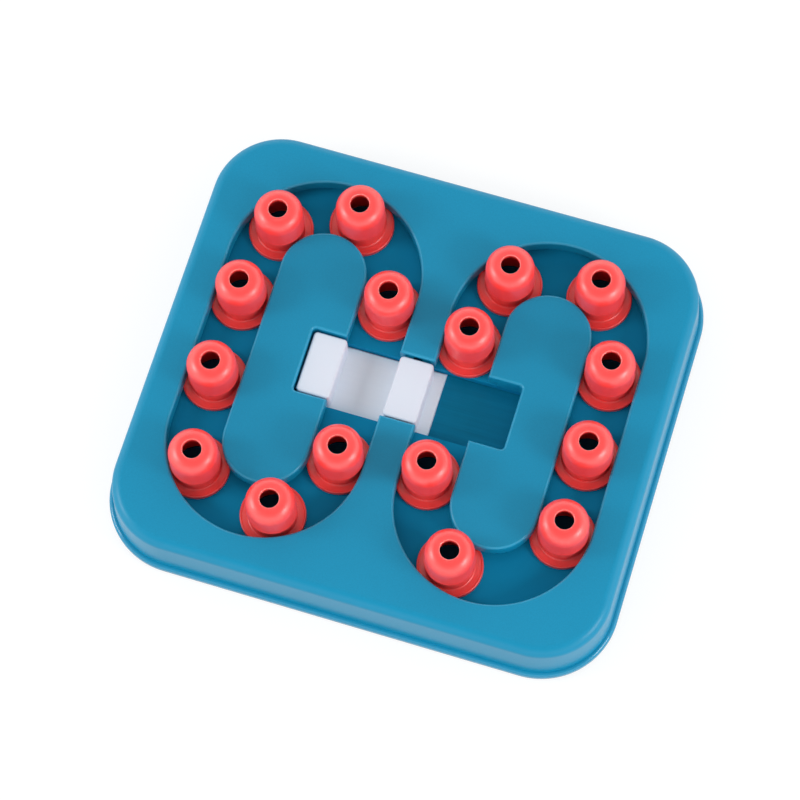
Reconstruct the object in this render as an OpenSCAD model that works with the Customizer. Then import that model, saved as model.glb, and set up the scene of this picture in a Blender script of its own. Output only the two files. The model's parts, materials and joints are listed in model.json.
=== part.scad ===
// Sliding puzzle feeder board: two racetrack grooves hold captive pegs, and a slider gates both tracks.
// The origin is the middle of the board on the surface that it stands on. X runs along the slider,
// Y along the straights of the tracks, Z up.

/* [Tracks] */
// Radius of the islands' round ends
island_r = 22; // [19:0.5:26]
// Width of the groove between an island and the cover
groove_w = 27.5; // [24:0.5:32]
// Length of the straights of each track
straight_l = 92; // [80:1:130]
// Width of the ridge between the two tracks
divider_w = 18.4; // [16:0.2:26]
// Depth of the track floor below the top face
groove_depth = 11.5; // [9:0.5:16]
// Height of the lips' lower edge above the track floor
lip_gap = 3.6; // [3.4:0.1:5]
// Corner radius of the notches and of the slider blocks that fill them
notch_r = 2; // [1:0.25:3]
// Thickness of the rim round the slider's slot, below the track floor
rim_t = 1.6; // [1.2:0.1:2.4]

/* [Board] */
// Width of the border beside the tracks, left and right
border_x = 22.8; // [18:0.2:40]
// Width of the border beyond the tracks' round ends
border_y = 21.5; // [18:0.5:40]
// Corner radius of the base band
base_r = 39; // [30:1:50]
// How far the base band stands out from the top of the cover
cover_inset = 4; // [3:0.5:7]
// How far the cover's wall leans out from top to bottom
draft = 1.4; // [0.4:0.2:2]
// Height of the base band below the cover
band_h = 5; // [4:0.5:9]
// Height of the cover's outer wall
cover_h = 26.7; // [24:0.1:36]
// Wall thickness of the mouldings
wall = 2.5; // [2:0.1:3.2]
// Rounding of the cover's top edge
edge_round = 4; // [2:0.5:6]
// Rounding of the groove, island and notch edges
lip_round = 1; // [0.4:0.1:1.4]
// Rounding of the base band's upper edge
band_round = 2; // [1:0.25:2.5]
// Thickness of the track floor
floor_t = 2.5; // [2:0.1:3]
// Clearance between nested mouldings
fit_gap = 0.3; // [0.2:0.05:0.5]

/* [Pegs] */
// Height of a peg above the track floor
peg_h = 30.5; // [26:0.5:36]
// Sideways play of a peg's skirt between the lips
peg_play = 1.45; // [1:0.05:2]
// How far the flange reaches under the lips on each side
lip_cover = 2.75; // [2:0.25:4]
// Radius of the hole in a peg's top
hole_r = 4.75; // [3:0.05:6]
// Rounding of the edge of that hole
hole_round = 0.35; // [0.2:0.05:0.6]
// Rounding of a peg's shoulder
shoulder_r = 5.8; // [4:0.2:6.6]
// Thickness of a peg's wall
peg_wall = 2; // [1.6:0.1:2.4]
// Height above the track floor of the soft step round a peg's skirt
step_z = 12; // [10:0.5:15]
// How far that step stands out from the skirt
step_out = 0.2; // [0.1:0.05:0.4]
// How far the skirt draws in from its middle down to the flange
skirt_taper = 0.4; // [0:0.1:0.8]
// Height of a peg's flange
flange_h = 2.8; // [2.4:0.1:3]
// Thickness of the flange's deck
deck_t = 1.6; // [1.2:0.1:2]
// Width of the raised rim round the flange
rim_w = 1.4; // [1:0.1:2]
// How far that rim stands up from the deck
rim_h = 0.4; // [0.2:0.1:0.6]
// Fillet between the skirt and the flange
cove_r = 1.6; // [0.8:0.1:2]

/* [Slider] */
// Width of a slider block, along the slider
block_w = 17.4; // [14:0.2:20]
// Length of a slider block, across the slider
block_l = 32.4; // [26:0.2:38]
// Height of the blocks above the track floor
block_h = 9.3; // [7:0.1:11]
// Gap between a block and the notch that it fills, at each side
block_gap = 1; // [0.6:0.1:1.4]
// Distance between the middles of the two blocks
block_pitch = 45.1; // [44:0.1:46]
// Offset of the right block from the middle when the slider is fully left
rest_offset = 0.35; // [0.2:0.05:0.5]
// How far the slider's plate runs on past each block
plate_overrun = 6; // [4:0.5:10]
// Depth of the plate's upper face below the track floor
plate_sink = 3.4; // [3:0.1:4]
// Thickness of the slider's plate
plate_t = 3.1; // [2.6:0.1:4]
// Width of the rails along the slider's plate
rail_w = 2.3; // [1.6:0.1:3]
// Thickness of those rails
rail_t = 1.4; // [1:0.1:1.6]

/* [Fasteners and feet] */
// Radius of the screw shanks
screw_r = 1.5; // [1.25:0.05:2]
// Radius of the screw heads
head_r = 2.9; // [2.5:0.1:3.4]
// Height of the screw heads
head_h = 1.8; // [1.4:0.1:2.4]
// Radial clearance of a screw in its boss
boss_fit = 0.05; // [0.02:0.01:0.1]
// Radial clearance round the screw shanks and heads in the base
screw_gap = 0.35; // [0.2:0.05:0.5]
// Depth of the screw heads' seats below the track floor's underside
head_seat = 4; // [3:0.5:6]
// Distance of the cover screws from the tracks' outer ends
screw_inset = 4; // [3:0.5:6]
// How deep a screw goes into its boss
screw_grip = 7; // [5:0.5:8]
// Radius of the rubber feet
foot_r = 7; // [5:0.5:9]
// How far the feet stand out below the base
foot_proud = 1; // [0.5:0.25:2]
// Depth of the pockets that hold the feet
foot_pocket = 1.5; // [1:0.25:2]

/* [Hidden] */
$fn = 96;

teal = "#2a8fb6";
deep_teal = "#14597a";
coral = "#ff5c5c";
ivory = "#e4e7ec";
steel = "#b9bdc1";
rubber_grey = "#3c4145";

eps = 0.01;
base_z = foot_proud;
ledge_z = base_z + band_h;
top_z = ledge_z + cover_h;
floor_z = top_z - groove_depth;
lip_z = floor_z + lip_gap;
plate_top_z = floor_z - plate_sink;
bed_z = plate_top_z - plate_t;
roof_z = top_z - wall;
under_z = floor_z - floor_t;

track_r = island_r + groove_w;
track_x = track_r + divider_w / 2;
lane_r = island_r + groove_w / 2;
half_l = straight_l / 2;

base_w = 2 * (track_x + track_r + border_x);
base_d = 2 * (half_l + track_r + border_y);
cover_w = base_w - 2 * cover_inset;
cover_d = base_d - 2 * cover_inset;
cover_r = base_r - cover_inset;
nest_inset = wall + fit_gap;

skirt_r = groove_w / 2 - peg_play;
flange_r = groove_w / 2 + lip_cover;
undercut = flange_r + peg_play + fit_gap;
pedestal_r = lane_r - undercut;
undercut_r = lane_r + undercut;

notch_hl = block_l / 2 + block_gap;
notch_depth = block_w + block_gap - 2 * fit_gap;
notch_end = track_x - island_r + notch_depth;
slot_hl = notch_hl + fit_gap;
slot_end = notch_end + 2 * fit_gap;
rim_z = bed_z + rail_t + fit_gap;

plate_hl = block_l / 2 + block_gap - fit_gap;
plate_half = block_pitch / 2 + block_w / 2 + plate_overrun;
travel = block_pitch - 2 * rest_offset;
slider_x = -travel / 2;
rail_hl = plate_hl + rail_w;
bed_hl = rail_hl + fit_gap;
bed_end = plate_half + travel / 2 + fit_gap;

screw_hole_r = screw_r + screw_gap;
bore_r = screw_r + boss_fit;
boss_r = bore_r + wall;
head_hole_r = head_r + screw_gap;
post_r = head_hole_r + wall / 2;
head_z = under_z - head_seat;
cover_screw_x = track_x + track_r + screw_inset;
cover_screw_y = half_l + track_r;
island_screw_y = notch_hl + wall + 3 * boss_r;
cover_screw_at = [
  for (sx = [-1, 1], sy = [-1, 1]) [sx * cover_screw_x, sy * cover_screw_y],
  for (sy = [-1, 1]) [0, sy * cover_screw_y]
];
island_screw_at = [for (sx = [-1, 1], sy = [-1, 1]) [sx * track_x, sy * island_screw_y]];
foot_at = [
  for (sx = [-1, 1], sy = [-1, 1])
    [sx * (cover_screw_x - 2 * foot_r), sy * (cover_screw_y - foot_r - boss_r)]
];

// Places of the pegs as the photograph shows them: share of one lap round the loop from the middle of
// its right-hand straight, anticlockwise, and how far the peg lies to the outside of its lane, as a
// share of its play. Pegs 1 to 8 are in the left track and 9 to 16 in the right one.
left_pegs = [
  [0.098, 1],
  [0.226, -0.4],
  [0.335, -0.6],
  [0.44, 0.1],
  [0.549, 0.3],
  [0.664, 0.5],
  [0.784, 0.1],
  [0.893, 1]
];
right_pegs = [
  [0.088, -0.7],
  [0.201, -0.7],
  [0.323, 0.1],
  [0.419, 0.8],
  [0.595, 0.8],
  [0.717, -0.4],
  [0.881, -0.1],
  [0.983, 0]
];

// A point on a loop, and the angle of its outward normal, after a share t of one lap.
function lap_length() = 2 * straight_l + 2 * PI * lane_r;
function lap_at(t) =
  let (
    s = t * lap_length(),
    quarter = half_l,
    turn = PI * lane_r
  )
  s < quarter ? [lane_r, s, 0]
  : s < quarter + turn ? arc_point(half_l, (s - quarter) / turn * 180)
  : s < quarter + turn + straight_l ? [-lane_r, half_l - (s - quarter - turn), 180]
  : s < quarter + 2 * turn + straight_l
    ? arc_point(-half_l, 180 + (s - quarter - turn - straight_l) / turn * 180)
  : [lane_r, s - lap_length(), 0];
function arc_point(y, a) = [lane_r * cos(a), y + lane_r * sin(a), a];
function peg_at(i) =
  let (
    place = i < 8 ? left_pegs[i] : right_pegs[i - 8],
    p = lap_at(place[0]),
    aside = place[1] * (peg_play - fit_gap)
  )
  [(i < 8 ? -1 : 1) * track_x + p[0] + aside * cos(p[2]), p[1] + aside * sin(p[2])];

// Quarter circle from angle a to angle b about a centre, as points.
function arc(cx, cy, r, a, b, n = 6) = [
  for (i = [0:n])
    let (t = a + (b - a) * i / n)
    [cx + r * cos(t), cy + r * sin(t)]
];

// Solid over a rounded rectangle. The profile lists [outset, height] from bottom to top.
module tier(w, d, r, profile) {
  low = profile[0][1];
  high = profile[len(profile) - 1][1];
  corner = concat([[0, low]], [for (p = profile) [r + p[0], p[1]]], [[0, high]]);
  for (k = [0:3]) {
    sx = k == 0 || k == 3 ? 1 : -1;
    sy = k < 2 ? 1 : -1;
    translate([sx * (w / 2 - r), sy * (d / 2 - r), 0])
      rotate([0, 0, 90 * k])
        rotate_extrude(angle = 90)
          polygon(corner);
  }
  if (d > 2 * r + eps)
    rotate([90, 0, 0])
      linear_extrude(height = d - 2 * r, center = true)
        polygon(both_sides(w / 2, profile));
  if (w > 2 * r + eps)
    rotate([90, 0, 90])
      linear_extrude(height = w - 2 * r, center = true)
        polygon(both_sides(d / 2, profile));
}

function both_sides(half, profile) = concat(
  [for (p = profile) [half + p[0], p[1]]],
  [for (i = [len(profile) - 1:-1:0]) [-half - profile[i][0], profile[i][1]]]
);

// Straight-sided solid over a rounded rectangle.
module slab(w, d, r, z0, z1) {
  tier(w, d, r, [[0, z0], [0, z1]]);
}

// Straight-sided solid over a racetrack of end radius r.
module oval(r, z0, z1) {
  slab(2 * r, straight_l + 2 * r, r, z0, z1);
}

// Cutter whose upper edge flares out, so that it leaves a rounded edge.
function flared(z0, z1, r) = concat(
  [[0, z0]],
  [for (p = arc(r, z1 - r, r, 180, 90)) p],
  [[r, z1 + 1]]
);

module cover_skin() {
  difference() {
    tier(cover_w, cover_d, cover_r, concat(
      [[draft, ledge_z]],
      arc(-edge_round, top_z - edge_round, edge_round, 0, 90, 8)
    ));
    tier(cover_w, cover_d, cover_r, [[draft - wall, ledge_z - 1], [-wall, roof_z]]);
  }
}

module bored_boss(at, z0, z1) {
  translate([at[0], at[1], z0])
    cylinder(r = boss_r, h = z1 - z0);
}

module bore(at, r, z0, z1) {
  translate([at[0], at[1], z0])
    cylinder(r = r, h = z1 - z0);
}

module top_cover() {
  color(teal)
    difference() {
      union() {
        cover_skin();
        for (s = [-1, 1])
          translate([s * track_x, 0, 0]) {
            oval(track_r + wall, lip_z, roof_z + eps);
            oval(undercut_r + wall, floor_z, lip_z + wall);
          }
        for (at = cover_screw_at)
          bored_boss(at, floor_z, roof_z + eps);
      }
      for (s = [-1, 1])
        translate([s * track_x, 0, 0]) {
          tier(2 * track_r, straight_l + 2 * track_r, track_r, flared(lip_z - 1, top_z, lip_round));
          oval(undercut_r, floor_z - 1, lip_z);
        }
      divider_hollows();
      tier(divider_w + 6, 2 * notch_hl, lip_round, flared(floor_z - 1, top_z, lip_round));
      for (at = cover_screw_at)
        bore(at, bore_r, floor_z - 1, floor_z + screw_grip + 1);
    }
}

// The ridge is hollow below, between the walls of the two tracks and the end walls at the slider.
module divider_hollows() {
  hollow_w = 2 * (track_x - undercut_r - wall);
  hollow_l = half_l - notch_hl - wall;
  for (s = [-1, 1])
    translate([0, s * (notch_hl + wall + hollow_l / 2), 0])
      slab(hollow_w, hollow_l, hollow_w / 4, floor_z - 1, roof_z);
}

module island(side) {
  // The notch faces the middle of the board.
  inner = -side;
  surround_w = notch_depth + wall;
  difference() {
    union() {
      difference() {
        tier(2 * island_r, straight_l + 2 * island_r, island_r, concat(
          [[0, lip_z]],
          arc(-lip_round, top_z - lip_round, lip_round, 0, 90)
        ));
        oval(island_r - wall, lip_z - 1, roof_z);
      }
      difference() {
        oval(pedestal_r, floor_z, roof_z + eps);
        oval(pedestal_r - wall, floor_z - 1, roof_z + 1);
      }
      intersection() {
        oval(pedestal_r, floor_z, roof_z + eps);
        notch_walls(inner, surround_w);
      }
      intersection() {
        oval(island_r - wall / 2, lip_z, roof_z + eps);
        notch_walls(inner, surround_w);
      }
      for (s = [-1, 1])
        bored_boss([0, s * island_screw_y], floor_z, roof_z + eps);
    }
    translate([inner * (island_r - notch_depth / 2 + 5), 0, 0])
      tier(notch_depth + 10, 2 * notch_hl, notch_r, flared(floor_z - 1, top_z, lip_round));
    for (s = [-1, 1])
      bore([0, s * island_screw_y], bore_r, floor_z - 1, floor_z + screw_grip + 1);
  }
}

// Block that the notch is cut from, so that a wall is left all round it.
module notch_walls(inner, surround_w) {
  translate([inner * (island_r - surround_w / 2), 0, 0])
    slab(surround_w, 2 * (notch_hl + wall), notch_r, floor_z, roof_z + eps);
}

module left_island() {
  color(teal)
    translate([-track_x, 0, 0])
      island(-1);
}

module right_island() {
  color(teal)
    translate([track_x, 0, 0])
      island(1);
}

module track_plate() {
  color(deep_teal)
    difference() {
      union() {
        slab(cover_w - 2 * nest_inset, cover_d - 2 * nest_inset, cover_r - nest_inset, under_z, floor_z);
        for (s = [-1, 1])
          translate([-slot_end, s * (slot_hl + rim_t / 2) - rim_t / 2, rim_z])
            cube([2 * slot_end, rim_t, under_z - rim_z + eps]);
      }
      slab(2 * slot_end, 2 * slot_hl, notch_r, rim_z - 1, floor_z + 1);
      for (at = concat(cover_screw_at, island_screw_at))
        bore(at, screw_hole_r, under_z - 1, floor_z + 1);
    }
}

module base_tray() {
  color(teal)
    difference() {
      union() {
        difference() {
          tier(base_w, base_d, base_r, concat(
            [[-band_round / 2, base_z]],
            [[0, base_z + band_round / 2]],
            arc(-band_round, ledge_z - band_round, band_round, 0, 90)
          ));
          slab(cover_w - 2 * (nest_inset + wall), cover_d - 2 * (nest_inset + wall),
            cover_r - nest_inset - wall, base_z + wall, ledge_z + 1);
        }
        difference() {
          slab(cover_w - 2 * nest_inset, cover_d - 2 * nest_inset, cover_r - nest_inset,
            ledge_z - eps, under_z);
          slab(cover_w - 2 * (nest_inset + wall), cover_d - 2 * (nest_inset + wall),
            cover_r - nest_inset - wall, ledge_z - 1, under_z + 1);
        }
        for (at = concat(cover_screw_at, island_screw_at))
          translate([at[0], at[1], base_z + wall - eps])
            cylinder(r = post_r, h = under_z - base_z - wall + eps);
        slider_bed();
        for (at = foot_at)
          translate([at[0], at[1], base_z + wall - eps])
            cylinder(r = foot_r + wall, h = foot_pocket);
      }
      for (at = concat(cover_screw_at, island_screw_at)) {
        bore(at, head_hole_r, base_z - 1, head_z);
        bore(at, screw_hole_r, head_z - 1, under_z + 1);
      }
      for (at = foot_at)
        bore(at, foot_r + boss_fit, base_z - 1, base_z + foot_pocket);
    }
}

// Raised bed that the slider runs on, with a wall along each side and a stop at each end.
module slider_bed() {
  difference() {
    slab(2 * (bed_end + wall), 2 * (bed_hl + wall), wall, base_z + wall - eps, under_z);
    slab(2 * bed_end, 2 * bed_hl, fit_gap, bed_z, under_z + 1);
    slab(2 * bed_end, 2 * bed_hl, fit_gap, base_z + wall, bed_z - wall);
  }
}

module slider() {
  color(ivory)
    translate([slider_x, 0, 0])
      difference() {
        union() {
          slab(2 * plate_half, 2 * plate_hl, 0.8, bed_z, plate_top_z);
          slab(2 * plate_half, 2 * rail_hl, 0.8, bed_z, bed_z + rail_t);
          for (s = [-1, 1])
            translate([s * block_pitch / 2, 0, 0])
              tier(block_w, block_l, notch_r, concat(
                [[lip_round / 10, plate_top_z - rail_t / 2]],
                arc(-lip_round, floor_z + block_h - lip_round, lip_round, 0, 90)
              ));
        }
        for (s = [-1, 1])
          translate([s * block_pitch / 2, 0, 0])
            slab(block_w - 2 * wall, block_l - 2 * wall, notch_r / 2, bed_z - 1,
              floor_z + block_h - wall);
      }
}

// Outline of a peg, turned about its axis: a thin-walled bell on a wide flange with a raised rim.
function peg_outline() =
  let (
    top = peg_h,
    deck = flange_h - rim_h,
    under = deck - deck_t,
    inner_r = skirt_r - peg_wall,
    inner_top = top - peg_wall - 2 * hole_round,
    foot_round = rim_w / 5,
    rim_round = rim_w / 2,
    foot_r1 = skirt_r - skirt_taper + cove_r
  )
  concat(
    [[flange_r - rim_w, 0], [flange_r - foot_round, 0], [flange_r, foot_round]],
    arc(flange_r - rim_round, flange_h - rim_round, rim_round, 0, 90, 2),
    [[flange_r - rim_w, deck]],
    arc(foot_r1, deck + cove_r, cove_r, 270, 180, 2),
    [[skirt_r - step_out / 2, step_z - 6 * step_out], [skirt_r + step_out, step_z]],
    [[skirt_r, step_z + 9 * step_out]],
    arc(skirt_r - shoulder_r, top - shoulder_r, shoulder_r, 0, 90, 6),
    arc(hole_r + hole_round, top - hole_round, hole_round, 90, 180, 2),
    [[hole_r, inner_top]],
    arc(inner_r - shoulder_r / 2, inner_top - shoulder_r / 2, shoulder_r / 2, 90, 0, 3),
    [[inner_r, deck + cove_r], [inner_r + cove_r / 2, under], [flange_r - rim_w, under]]
  );

module peg(i) {
  at = peg_at(i);
  color(coral)
    translate([at[0], at[1], floor_z])
      rotate_extrude()
        polygon(peg_outline());
}

// Pan head screws, head down, their tips in the bosses.
module screw() {
  rotate_extrude()
    polygon([
      [0, head_z - head_h], [head_r - 0.5, head_z - head_h], [head_r, head_z - head_h + 0.5],
      [head_r, head_z], [screw_r, head_z], [screw_r, floor_z + screw_grip - 1],
      [screw_r / 2, floor_z + screw_grip], [0, floor_z + screw_grip]
    ]);
}

module cover_screws() {
  color(steel)
    for (at = cover_screw_at)
      translate([at[0], at[1], 0])
        screw();
}

module island_screws() {
  color(steel)
    for (at = island_screw_at)
      translate([at[0], at[1], 0])
        screw();
}

module rubber_feet() {
  color(rubber_grey)
    for (at = foot_at)
      translate([at[0], at[1], 0])
        rotate_extrude()
          polygon([
            [0, 0], [foot_r - 0.6, 0], [foot_r, 0.6],
            [foot_r, base_z + foot_pocket], [0, base_z + foot_pocket]
          ]);
}

base_tray();
track_plate();
top_cover();
left_island();
right_island();
slider();
peg(0);  // peg_01
peg(1);  // peg_02
peg(2);  // peg_03
peg(3);  // peg_04
peg(4);  // peg_05
peg(5);  // peg_06
peg(6);  // peg_07
peg(7);  // peg_08
peg(8);  // peg_09
peg(9);  // peg_10
peg(10);  // peg_11
peg(11);  // peg_12
peg(12);  // peg_13
peg(13);  // peg_14
peg(14);  // peg_15
peg(15);  // peg_16
cover_screws();
island_screws();
rubber_feet();
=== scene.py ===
"""Looks of a sliding puzzle feeder board for dogs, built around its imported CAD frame."""

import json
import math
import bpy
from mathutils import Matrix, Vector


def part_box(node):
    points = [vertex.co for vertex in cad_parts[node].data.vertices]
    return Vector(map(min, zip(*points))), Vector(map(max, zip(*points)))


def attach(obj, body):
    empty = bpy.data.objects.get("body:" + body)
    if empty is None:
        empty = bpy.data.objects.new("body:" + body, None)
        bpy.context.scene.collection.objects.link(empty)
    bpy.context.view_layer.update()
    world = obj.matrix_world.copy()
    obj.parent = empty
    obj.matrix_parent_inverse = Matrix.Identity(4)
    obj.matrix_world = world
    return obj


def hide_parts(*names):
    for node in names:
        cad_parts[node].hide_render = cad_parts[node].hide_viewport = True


bl_info = {
    "name": "Puzzle feeder board",
    "version": (1, 0, 0),
    "blender": (4, 5, 0),
    "location": "View3D > Sidebar > Feeder",
    "description": "Builds the moulded pieces, plastics and photo stage of a puzzle feeder board",
    "category": "Object",
}

import bpy
from mathutils import Quaternion, Vector

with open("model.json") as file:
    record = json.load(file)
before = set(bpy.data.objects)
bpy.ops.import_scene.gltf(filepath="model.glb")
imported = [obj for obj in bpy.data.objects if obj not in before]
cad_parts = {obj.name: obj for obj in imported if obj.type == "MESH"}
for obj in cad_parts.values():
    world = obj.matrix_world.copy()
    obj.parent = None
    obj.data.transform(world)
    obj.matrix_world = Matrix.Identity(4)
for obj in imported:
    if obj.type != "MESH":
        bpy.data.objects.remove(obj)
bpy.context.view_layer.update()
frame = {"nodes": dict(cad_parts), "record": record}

BOARD_BODY = "board"
PEG_NODES = sorted(name for name in frame["nodes"] if name.startswith("peg_"))
MM = 0.001
# How far a cutter reaches past the faces that it cuts
PAST = MM
# How far a solid reaches into the one that it is fused to
WELD = 0.1 * MM


def hex_to_linear(text):
    """An sRGB hex colour as linear red, green and blue."""
    channels = [int(text[i:i + 2], 16) / 255 for i in (1, 3, 5)]
    return tuple(c / 12.92 if c <= 0.04045 else ((c + 0.055) / 1.055) ** 2.4 for c in channels)


def box_of(node):
    """Lowest and highest corner of a CAD node, as vectors."""
    low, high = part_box(node)
    return Vector(low), Vector(high)


BASE_LOW, BASE_HIGH = box_of("base_tray")
COVER_LOW, COVER_HIGH = box_of("top_cover")
PLATE_LOW, PLATE_HIGH = box_of("track_plate")
ISLAND_HIGH = box_of("left_island")[1]
PEG_LOW, PEG_HIGH = box_of(PEG_NODES[0])
SLIDER_LOW, SLIDER_HIGH = box_of("slider")
SCREWS_LOW, SCREWS_HIGH = box_of("cover_screws")
ISLAND_SCREWS_HIGH = box_of("island_screws")[1]
FEET_LOW, FEET_HIGH = box_of("rubber_feet")
# Height of the track floor, on which the pegs stand
FLOOR_Z = PEG_LOW.z


def length(label, about, value, low=0.0, high=1.0):
    """A length property in metres, shown in the scene's units."""
    return bpy.props.FloatProperty(
        name=label, description=about, default=value, min=low, max=high,
        precision=5, unit="LENGTH", subtype="DISTANCE",
    )


def colour(label, about, text):
    """A colour property with an sRGB hex default."""
    return bpy.props.FloatVectorProperty(
        name=label, description=about, default=hex_to_linear(text), size=3,
        min=0.0, max=1.0, subtype="COLOR",
    )


def angle(label, about, degrees):
    """An angle property, given in degrees."""
    return bpy.props.FloatProperty(
        name=label, description=about, default=math.radians(degrees), subtype="ANGLE",
    )


def power(label, about, watts):
    """A property for the power of a lamp."""
    return bpy.props.FloatProperty(
        name=label, description=about, default=watts, min=0, max=200, unit="POWER",
    )


# Sizes and colours that a user would change


class BoardSizes(bpy.types.PropertyGroup):
    cover_width: length("Cover width", "Width of the cover at its top edge", 0.254)
    cover_depth: length("Cover depth", "Depth of the cover at its top edge", 0.226)
    cover_corner: length("Cover corner", "Corner radius of the cover's top", 0.035)
    draft: length("Draft", "How far the cover's wall leans out from top to bottom", 0.0014)
    edge_round: length("Edge rounding", "Rounding of the cover's top edge", 0.0055)
    band_corner: length("Band corner", "Corner radius of the base band", 0.039)
    band_round: length("Band rounding", "Rounding of the base band's upper edge", 0.002)
    wall: length("Wall", "Wall thickness of the mouldings", 0.0025)
    gap: length("Fit gap", "Clearance between nested mouldings", 0.0003)
    track_radius: length("Track radius", "Radius of the round ends of a track's opening", 0.0495)
    undercut_radius: length("Undercut radius", "Radius of the channel below the lips", 0.054)
    track_offset: length("Track offset", "Distance of a track's middle from the board's", 0.0587)
    straight: length("Straight", "Length of the straights of a track", 0.092)
    lip_gap: length("Lip gap", "Height of the lips above the track floor", 0.0036)
    lip_round: length("Lip rounding", "Rounding of the groove and notch edges", 0.0015)
    island_radius: length("Island radius", "Radius of an island's round ends", 0.022)
    pedestal_radius: length("Pedestal radius", "Radius of an island's foot", 0.0175)
    notch_half: length("Notch half length", "Half the length of the notches and the divider gap", 0.0172)
    notch_depth: length("Notch depth", "How deep a notch goes into its island", 0.0178)
    notch_corner: length("Notch corner", "Corner radius of a notch", 0.002)
    divider: length("Divider", "Width of the ridge between the tracks", 0.0184)


class SliderSizes(bpy.types.PropertyGroup):
    block_width: length("Block width", "Width of a block, along the slider", 0.0174)
    block_length: length("Block length", "Length of a block, across the slider", 0.0324)
    block_pitch: length("Block pitch", "Distance between the middles of the blocks", 0.0451)
    block_corner: length("Block corner", "Corner radius of a block", 0.002)
    block_edge: length("Block edge", "Rounding of a block's upper edge", 0.001)
    plate_half: length("Plate half width", "Half the width of the plate between the blocks", 0.0169)
    plate_top: length("Plate depth", "Depth of the plate's face below the track floor", 0.0034)
    rail_top: length("Rail height", "Thickness of the rails along the plate", 0.0014)


class PegSizes(bpy.types.PropertyGroup):
    body_radius: length("Body radius", "Radius of a peg's body", 0.0123)
    flange_radius: length("Flange radius", "Radius of a peg's flange", 0.0165)
    flange_height: length("Flange height", "Height of the rim of the flange", 0.0028)
    foot_width: length("Foot width", "Width of the ring that the flange stands on", 0.0014)
    rim_width: length("Rim width", "Width of the raised rim round the flange", 0.0012)
    rim_height: length("Rim height", "How far that rim stands up from the deck", 0.00035)
    deck: length("Deck thickness", "Thickness of the flange's deck", 0.0016)
    cove: length("Cove", "Fillet between the body and the flange", 0.001)
    hole_radius: length("Hole radius", "Radius of the hole in the top", 0.00475)
    hole_round: length("Hole rounding", "Rounding of the edge of the hole", 0.00045)
    shoulder: length("Shoulder", "Rounding of a peg's shoulder", 0.0066)
    shoulder_drop: length("Shoulder drop", "How far that rounding runs down the side", 0.007)
    step_height: length("Step height", "Height of the soft step round the body", 0.012)
    step_out: length("Step", "How far the step stands out from the body", 0.0003)
    taper: length("Taper", "How far the body draws in from its middle to the flange", 0.0004)
    wall: length("Peg wall", "Wall thickness of a peg", 0.002)


class FastenerSizes(bpy.types.PropertyGroup):
    shank: length("Shank radius", "Radius of the screw shanks", 0.0015)
    head: length("Head radius", "Radius of the screw heads", 0.0029)
    head_height: length("Head height", "Height of the screw heads", 0.0018)
    recess: length("Recess", "Length of the cross recess in a screw head", 0.0032)
    clearance: length("Clearance", "Radial clearance round the screws in the base", 0.00035)
    seat: length("Seat", "Depth of the head seats below the track plate", 0.004)
    fit: length("Fit", "Radial clearance of the screws in their bosses and of the feet", 0.00005)
    grip: length("Grip", "How deep a screw goes into its boss", 0.007)
    foot: length("Foot radius", "Radius of the rubber feet", 0.007)
    pocket: length("Pocket", "Depth of the pockets that hold the feet", 0.0015)


class Finishes(bpy.types.PropertyGroup):
    teal: colour("Teal", "Cover, islands and base", "#0E8DB5")
    # Painted highlight: the roundings' teal is lighter than the teal, on top of their real gloss.
    teal_rim_highlight: colour("Teal edge", "Polished edge of the grooves, islands and notches", "#2A9DC4")
    groove_teal: colour("Groove teal", "Track plate", "#0C8DBA")
    # Painted shade: darker than the tray's own teal, as shade on the bed deep below the slider.
    bed: colour("Bed", "Scored bed below the slider", "#0B80A5")
    coral: colour("Coral", "Pegs", "#FD4341")
    # Painted highlight: the ring round the holes is paler than the coral, on top of its real gloss.
    edge: colour("Coral edge", "Polished edge round the pegs' holes", "#FF7E79")
    ivory: colour("Ivory", "Slider", "#DEE9F6")
    # Painted light: lighter than the ivory of the same moulding, as light on the plate down in its
    # channel.
    plate: colour("Plate", "Worn plate of the slider, between its blocks", "#E7F5FF")
    steel: colour("Steel", "Screws", "#B9BDC1")
    rubber: colour("Rubber", "Feet", "#3C4145")


class StageSettings(bpy.types.PropertyGroup):
    focal: bpy.props.FloatProperty(
        name="Focal length", description="Focal length for a 36 mm sensor, in millimetres",
        default=129.87, min=10, max=500,
    )
    distance: length("Distance", "Distance of the camera from the point it looks at", 1.439, 0.1, 10)
    turn: angle("Turn", "Angle of the camera round the board, from the front to the right", 21.42)
    height: angle("Height angle", "Angle of the camera above the floor", 71.22)
    roll: angle("Roll", "Tilt of the camera about its own axis", 4.5)
    sky: bpy.props.FloatProperty(
        name="Sky", description="Strength of the soft light from all round, at the horizon",
        default=1.8, min=0, max=4,
    )
    zenith: bpy.props.FloatProperty(
        name="Zenith", description="How bright the light from straight above is, as a share of that",
        default=0.2, min=0, max=2,
    )
    left_softbox: power("Left softbox", "Power of the softbox at the left", 3.2)
    right_softbox: power("Right softbox", "Power of the softbox at the right", 3.8)
    top_softbox: power("Top softbox", "Power of the softbox overhead", 0.35)


# Modelling helpers


def deselect():
    if bpy.context.object and bpy.context.object.mode != "OBJECT":
        bpy.ops.object.mode_set(mode="OBJECT")
    bpy.ops.object.select_all(action="DESELECT")


def select_mesh():
    bpy.ops.mesh.select_all(action="SELECT")


def pick(piece):
    """Makes one object the only selected and active one."""
    deselect()
    piece.select_set(True)
    bpy.context.view_layer.objects.active = piece


def round_edge(radius, count):
    """Steps of a convex edge from an upright wall to a flat top: how far in and how far on."""
    turn = [math.pi / 2 * k / count for k in range(count + 1)]
    return [
        (radius * (math.cos(a) - math.cos(b)), radius * (math.sin(b) - math.sin(a)))
        for a, b in zip(turn, turn[1:])
    ]


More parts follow.
